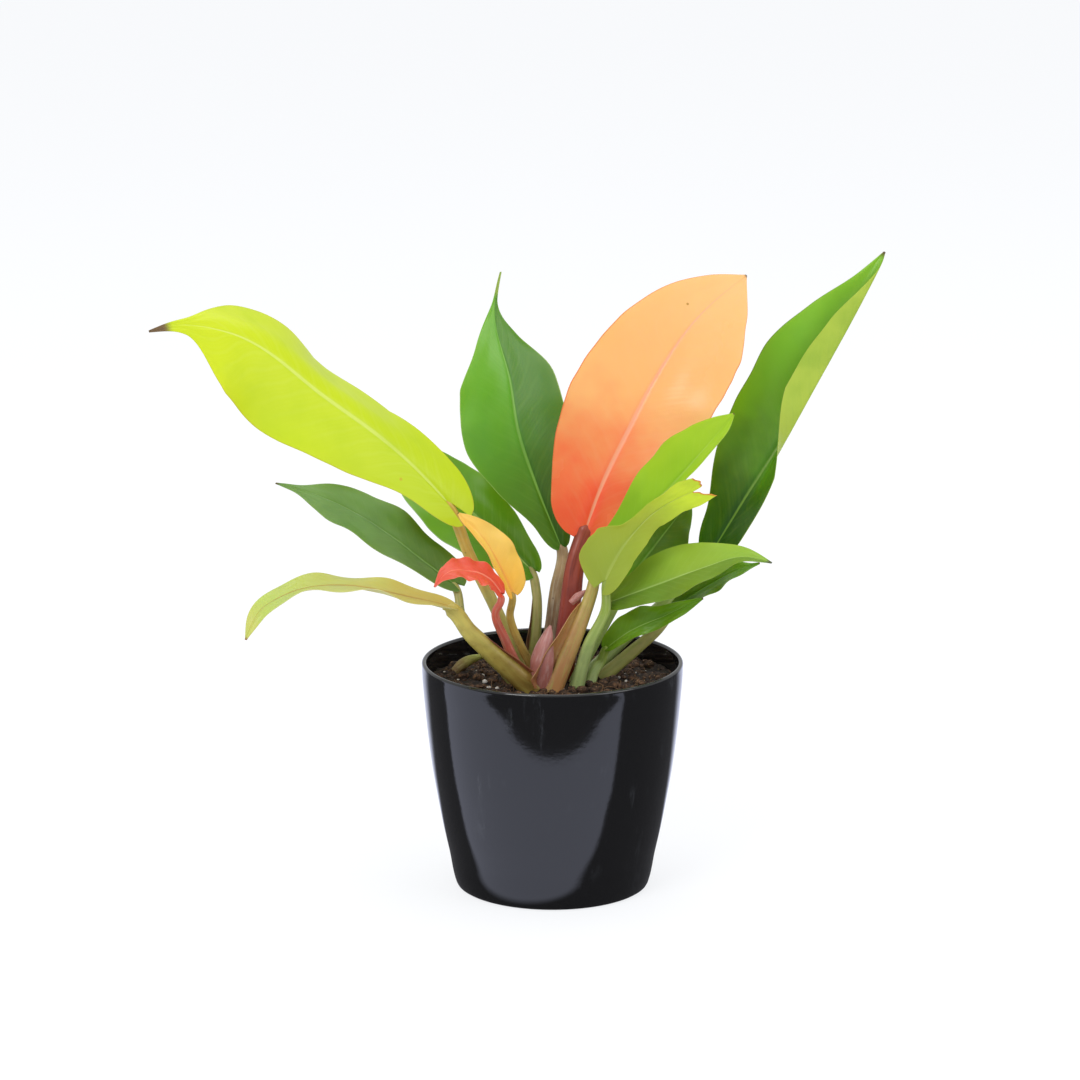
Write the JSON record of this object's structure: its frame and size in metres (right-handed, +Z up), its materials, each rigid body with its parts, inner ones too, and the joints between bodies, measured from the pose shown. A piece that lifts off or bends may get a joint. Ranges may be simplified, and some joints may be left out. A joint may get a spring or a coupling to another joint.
{
  "type": "potted philodendron",
  "caption": "Low rosette philodendron with lime, amber, orange-red and green leaves in a tapered glossy black pot.",
  "frame": {"origin": "centre of the pot's flat underside", "axes": "+Z up along the pot's axis, +X towards the tall right leaf, -Y towards the plant's show side"},
  "size_m": [0.3601, 0.1515, 0.3095],
  "materials": {
    "pot_plastic": "glossy black moulded plastic with faint water marks",
    "potting_mix": "moist coir and bark with white perlite",
    "crown_bark": "fibrous brown stem",
    "lime_leaf_blade": "waxy leaf with a paler midrib",
    "lime_leaf_stalk": "smooth waxy stalk",
    "dark_left_leaf_blade": "waxy leaf with a paler midrib",
    "dark_left_leaf_stalk": "smooth waxy stalk",
    "mid_left_leaf_blade": "waxy leaf with a paler midrib",
    "mid_left_leaf_stalk": "smooth waxy stalk",
    "upright_leaf_blade": "waxy leaf with a paler midrib",
    "upright_leaf_stalk": "smooth waxy stalk",
    "orange_leaf_blade": "waxy leaf with a paler midrib",
    "orange_leaf_stalk": "smooth waxy stalk",
    "folded_leaf_blade": "waxy leaf with a paler midrib",
    "folded_leaf_stalk": "smooth waxy stalk",
    "torn_leaf_blade": "waxy leaf with a paler midrib",
    "torn_leaf_stalk": "smooth waxy stalk",
    "tall_right_leaf_blade": "waxy leaf with a paler midrib",
    "tall_right_leaf_stalk": "smooth waxy stalk",
    "back_leaf_blade": "waxy leaf with a paler midrib",
    "back_leaf_stalk": "smooth waxy stalk",
    "arched_leaf_blade": "waxy leaf with a paler midrib",
    "arched_leaf_stalk": "smooth waxy stalk",
    "low_right_leaf_blade": "waxy leaf with a paler midrib",
    "low_right_leaf_stalk": "smooth waxy stalk",
    "short_right_leaf_blade": "waxy leaf with a paler midrib",
    "short_right_leaf_stalk": "smooth waxy stalk",
    "amber_leaf_blade": "waxy leaf with a paler midrib",
    "amber_leaf_stalk": "smooth waxy stalk",
    "red_leaf_blade": "waxy leaf with a paler midrib",
    "red_leaf_stalk": "smooth waxy stalk",
    "drooping_leaf_blade": "waxy leaf with a paler midrib",
    "drooping_leaf_stalk": "smooth waxy stalk",
    "pink_scale": "soft satin scale leaf",
    "dried_sheath": "dry papery sheath",
    "sheath_tip": "soft satin sheath tip",
    "old_leaf_base": "withered stalk stump"
  },
  "bodies": {
    "root": {"pot": "pot_plastic", "potting_mix": "potting_mix", "crown": "crown_bark", "lime_leaf_stalk": "lime_leaf_stalk", "lime_leaf_blade": "lime_leaf_blade", "dark_left_leaf_stalk": "dark_left_leaf_stalk", "dark_left_leaf_blade": "dark_left_leaf_blade", "mid_left_leaf_stalk": "mid_left_leaf_stalk", "mid_left_leaf_blade": "mid_left_leaf_blade", "upright_leaf_stalk": "upright_leaf_stalk", "upright_leaf_blade": "upright_leaf_blade", "orange_leaf_stalk": "orange_leaf_stalk", "orange_leaf_blade": "orange_leaf_blade", "folded_leaf_stalk": "folded_leaf_stalk", "folded_leaf_blade": "folded_leaf_blade", "torn_leaf_stalk": "torn_leaf_stalk", "torn_leaf_blade": "torn_leaf_blade", "tall_right_leaf_stalk": "tall_right_leaf_stalk", "tall_right_leaf_blade": "tall_right_leaf_blade", "back_leaf_stalk": "back_leaf_stalk", "back_leaf_blade": "back_leaf_blade", "arched_leaf_stalk": "arched_leaf_stalk", "arched_leaf_blade": "arched_leaf_blade", "low_right_leaf_stalk": "low_right_leaf_stalk", "low_right_leaf_blade": "low_right_leaf_blade", "short_right_leaf_stalk": "short_right_leaf_stalk", "short_right_leaf_blade": "short_right_leaf_blade", "amber_leaf_stalk": "amber_leaf_stalk", "amber_leaf_blade": "amber_leaf_blade", "red_leaf_stalk": "red_leaf_stalk", "red_leaf_blade": "red_leaf_blade", "drooping_leaf_stalk": "drooping_leaf_stalk", "drooping_leaf_blade": "drooping_leaf_blade", "pink_scale": "pink_scale", "dried_sheath": "dried_sheath", "sheath_tip": "sheath_tip", "old_leaf_base": "old_leaf_base"}
  },
  "joints": []
}
